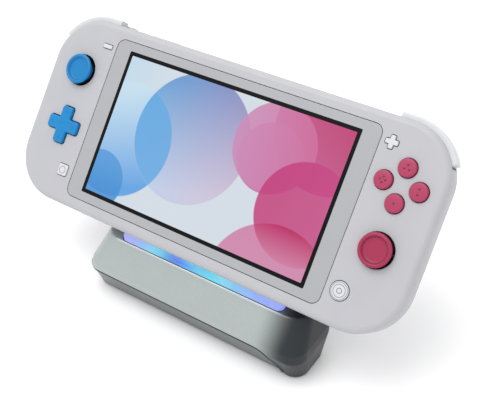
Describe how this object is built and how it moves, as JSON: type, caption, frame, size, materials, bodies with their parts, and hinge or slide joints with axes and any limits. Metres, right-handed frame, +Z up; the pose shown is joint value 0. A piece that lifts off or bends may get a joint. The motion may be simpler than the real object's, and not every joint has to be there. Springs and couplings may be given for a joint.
{
  "type": "game console with controller",
  "caption": "Handheld game console with built-in sticks, direction pad and buttons, leaning on a small charging dock with a glowing light strip",
  "frame": {"origin": "middle of the bounding box on the floor that the dock's feet stand on", "axes": "+X to the right along the console, +Y to the back, +Z up; the console leans back 39 degrees from upright"},
  "size_m": [0.212, 0.0786, 0.1108],
  "materials": {
    "shell_grey": "satin moulded, light grey",
    "panel_grey": "smooth glossy grey bezel",
    "blue_plastic": "satin blue",
    "pink_plastic": "satin deep pink",
    "white_plastic": "satin white",
    "dock_silver": "satin metallic silver-grey",
    "dock_slate": "satin metallic slate",
    "black_plastic": "matt black",
    "rubber": "matt dark rubber",
    "steel": "plain sheet steel",
    "copper": "bare copper",
    "board_green": "solder mask",
    "glow_strip": "lit translucent diffuser",
    "cell_foil": "foil wrapped cell",
    "screen_black": "black border under the glass",
    "screen_image": "lit display showing plain overlapping circles"
  },
  "bodies": {
    "dock": {"dock_shell": "dock_silver", "dock_fascia": "dock_slate", "dock_base_plate": "dock_slate", "light_bar": "glow_strip", "led_board": "board_green", "dock_board": "board_green", "charge_plug": "glow_strip", "back_rest": "dock_silver", "rest_pad": "rubber", "power_inlet": "steel", "dock_foot_1": "rubber", "dock_foot_2": "rubber", "dock_foot_3": "rubber", "dock_foot_4": "rubber"},
    "console": {"front_shell": "shell_grey", "rear_shell": "shell_grey", "screen_panel": "panel_grey", "display_module": "screen_black", "mid_frame": "steel", "battery": "cell_foil", "main_board": "board_green", "heat_sink": "copper", "fan_housing": "black_plastic", "charge_socket": "steel", "headphone_jack": "black_plastic", "game_card_reader": "steel", "left_speaker": "black_plastic", "right_speaker": "black_plastic", "left_stick_base": "black_plastic", "right_stick_base": "black_plastic", "face_button_membrane": "rubber", "shell_screw_1": "steel", "shell_screw_2": "steel", "shell_screw_3": "steel", "shell_screw_4": "steel"},
    "fan": {"fan_rotor": "black_plastic"},
    "left_yoke": {"left_stick_yoke": "steel"},
    "left_shaft": {"left_stick_shaft": "white_plastic"},
    "left_cap": {"left_stick_cap": "blue_plastic"},
    "right_yoke": {"right_stick_yoke": "steel"},
    "right_shaft": {"right_stick_shaft": "white_plastic"},
    "right_cap": {"right_stick_cap": "pink_plastic"},
    "d_pad_rocker": {"d_pad_rubber": "rubber"},
    "d_pad_cross": {"d_pad": "blue_plastic"},
    "key_a": {"button_a": "pink_plastic"},
    "key_b": {"button_b": "pink_plastic"},
    "key_x": {"button_x": "pink_plastic"},
    "key_y": {"button_y": "pink_plastic"},
    "key_plus": {"plus_button": "white_plastic"},
    "key_minus": {"minus_button": "white_plastic"},
    "key_home": {"home_button": "white_plastic"},
    "key_capture": {"capture_button": "white_plastic"},
    "shoulder_left": {"left_shoulder": "white_plastic"},
    "shoulder_right": {"right_shoulder": "white_plastic"},
    "trigger_left": {"left_trigger": "white_plastic"},
    "trigger_right": {"right_trigger": "white_plastic"},
    "key_power": {"power_button": "shell_grey"},
    "key_volume": {"volume_rocker": "shell_grey"},
    "card_cover": {"game_card_cover": "shell_grey"},
    "memory_cover": {"memory_card_cover": "shell_grey"}
  },
  "joints": [
    {"name": "console_lift", "type": "slide", "parent": "dock", "child": "console", "axis": [0, 0.6293, 0.7771], "range_m": [0, 0.06]},
    {"name": "left_stick_fore_aft", "type": "hinge", "parent": "console", "child": "left_yoke", "pos_m": [-0.087, 0.0146, 0.08602], "axis": [1, 0, 0], "range_deg": [-7, 7], "stiffness_Nm_per_rad": 0.02},
    {"name": "left_stick_sideways", "type": "hinge", "parent": "left_yoke", "child": "left_shaft", "pos_m": [-0.087, 0.0146, 0.08602], "axis": [0, 0.6293, 0.7771], "range_deg": [-7, 7], "stiffness_Nm_per_rad": 0.02},
    {"name": "left_stick_press", "type": "slide", "parent": "left_shaft", "child": "left_cap", "axis": [0, 0.7771, -0.6293], "range_m": [0, 0.0005], "stiffness_N_per_m": 2500, "springref_m": -0.0004},
    {"name": "right_stick_fore_aft", "type": "hinge", "parent": "console", "child": "right_yoke", "pos_m": [0.087, -0.0034, 0.06379], "axis": [1, 0, 0], "range_deg": [-7, 7], "stiffness_Nm_per_rad": 0.02},
    {"name": "right_stick_sideways", "type": "hinge", "parent": "right_yoke", "child": "right_shaft", "pos_m": [0.087, -0.0034, 0.06379], "axis": [0, 0.6293, 0.7771], "range_deg": [-7, 7], "stiffness_Nm_per_rad": 0.02},
    {"name": "right_stick_press", "type": "slide", "parent": "right_shaft", "child": "right_cap", "axis": [0, 0.7771, -0.6293], "range_m": [0, 0.0005], "stiffness_N_per_m": 2500, "springref_m": -0.0004},
    {"name": "d_pad_fore_aft", "type": "hinge", "parent": "console", "child": "d_pad_rocker", "pos_m": [-0.086, -0.00635, 0.06618], "axis": [1, 0, 0], "range_deg": [-3, 3], "stiffness_Nm_per_rad": 0.15},
    {"name": "d_pad_sideways", "type": "hinge", "parent": "d_pad_rocker", "child": "d_pad_cross", "pos_m": [-0.086, -0.00635, 0.06618], "axis": [0, 0.6293, 0.7771], "range_deg": [-3, 3], "stiffness_Nm_per_rad": 0.15},
    {"name": "a_press", "type": "slide", "parent": "console", "child": "key_a", "axis": [0, 0.7771, -0.6293], "range_m": [0, 0.001], "stiffness_N_per_m": 700, "springref_m": -0.0006},
    {"name": "b_press", "type": "slide", "parent": "console", "child": "key_b", "axis": [0, 0.7771, -0.6293], "range_m": [0, 0.001], "stiffness_N_per_m": 700, "springref_m": -0.0006},
    {"name": "x_press", "type": "slide", "parent": "console", "child": "key_x", "axis": [0, 0.7771, -0.6293], "range_m": [0, 0.001], "stiffness_N_per_m": 700, "springref_m": -0.0006},
    {"name": "y_press", "type": "slide", "parent": "console", "child": "key_y", "axis": [0, 0.7771, -0.6293], "range_m": [0, 0.001], "stiffness_N_per_m": 700, "springref_m": -0.0006},
    {"name": "plus_press", "type": "slide", "parent": "console", "child": "key_plus", "axis": [0, 0.7771, -0.6293], "range_m": [0, 0.0005], "stiffness_N_per_m": 1500, "springref_m": -0.0004},
    {"name": "minus_press", "type": "slide", "parent": "console", "child": "key_minus", "axis": [0, 0.7771, -0.6293], "range_m": [0, 0.0005], "stiffness_N_per_m": 1500, "springref_m": -0.0004},
    {"name": "home_press", "type": "slide", "parent": "console", "child": "key_home", "axis": [0, 0.7771, -0.6293], "range_m": [0, 0.0005], "stiffness_N_per_m": 1500, "springref_m": -0.0004},
    {"name": "capture_press", "type": "slide", "parent": "console", "child": "key_capture", "axis": [0, 0.7771, -0.6293], "range_m": [0, 0.0005], "stiffness_N_per_m": 1500, "springref_m": -0.0004},
    {"name": "left_shoulder_press", "type": "hinge", "parent": "console", "child": "shoulder_left", "pos_m": [-0.077, 0.03018, 0.10621], "axis": [0, -0.7771, 0.6293], "range_deg": [0, 2], "stiffness_Nm_per_rad": 1, "springref_deg": -1.72},
    {"name": "right_shoulder_press", "type": "hinge", "parent": "console", "child": "shoulder_right", "pos_m": [0.077, 0.03018, 0.10621], "axis": [0, 0.7771, -0.6293], "range_deg": [0, 2], "stiffness_Nm_per_rad": 1, "springref_deg": -1.72},
    {"name": "left_trigger_press", "type": "hinge", "parent": "console", "child": "trigger_left", "pos_m": [-0.0748, 0.03342, 0.09973], "axis": [0, -0.7771, 0.6293], "range_deg": [0, 2], "stiffness_Nm_per_rad": 1, "springref_deg": -1.72},
    {"name": "right_trigger_press", "type": "hinge", "parent": "console", "child": "trigger_right", "pos_m": [0.0748, 0.03342, 0.09973], "axis": [0, 0.7771, -0.6293], "range_deg": [0, 2], "stiffness_Nm_per_rad": 1, "springref_deg": -1.72},
    {"name": "power_press", "type": "slide", "parent": "console", "child": "key_power", "axis": [0, -0.6293, -0.7771], "range_m": [0, 0.0005], "stiffness_N_per_m": 1500, "springref_m": -0.0004},
    {"name": "volume_rock", "type": "hinge", "parent": "console", "child": "key_volume", "pos_m": [-0.05, 0.03111, 0.10482], "axis": [0, -0.7771, 0.6293], "range_deg": [-3, 3], "stiffness_Nm_per_rad": 0.1},
    {"name": "card_cover_hinge", "type": "hinge", "parent": "console", "child": "card_cover", "pos_m": [0.053, 0.03517, 0.1041], "axis": [-1, 0, 0], "range_deg": [0, 100]},
    {"name": "memory_cover_hinge", "type": "hinge", "parent": "console", "child": "memory_cover", "pos_m": [-0.07, -0.02398, 0.03233], "axis": [1, 0, 0], "range_deg": [0, 100]},
    {"name": "fan_spin", "type": "hinge", "parent": "console", "child": "fan", "pos_m": [0.012, 0.02117, 0.08777], "axis": [0, -0.7771, 0.6293], "continuous": true}
  ]
}
